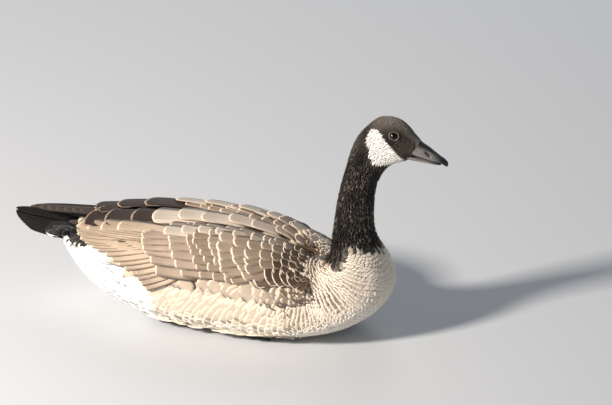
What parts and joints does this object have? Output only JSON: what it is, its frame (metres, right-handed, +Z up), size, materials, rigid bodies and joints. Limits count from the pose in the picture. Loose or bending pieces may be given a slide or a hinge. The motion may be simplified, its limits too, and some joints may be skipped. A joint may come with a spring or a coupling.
{
  "type": "canada goose",
  "caption": "Life-size Canada goose resting on its belly with wings folded, neck raised and feet tucked under the body.",
  "frame": {"origin": "centre of the flat of the belly, on the floor the bird rests on", "axes": "+X forward, from tail to bill; +Y to the bird's left; +Z up"},
  "size_m": [0.5484, 0.1824, 0.2889],
  "materials": {
    "pale_plumage": "soft feather",
    "black_plumage": "soft feather",
    "brown_plumage": "soft feather",
    "horn": "satin horn",
    "leg_skin": "scaled skin",
    "eye": "wet gloss"
  },
  "bodies": {
    "root": {"torso": "pale_plumage", "neck": "black_plumage", "head": "black_plumage", "bill_upper": "horn", "bill_lower": "horn", "eye_left": "eye", "eye_right": "eye", "wing_left": "brown_plumage", "wing_right": "brown_plumage", "tail": "black_plumage", "leg_left": "leg_skin", "leg_right": "leg_skin", "foot_left": "leg_skin", "foot_right": "leg_skin"}
  },
  "joints": []
}
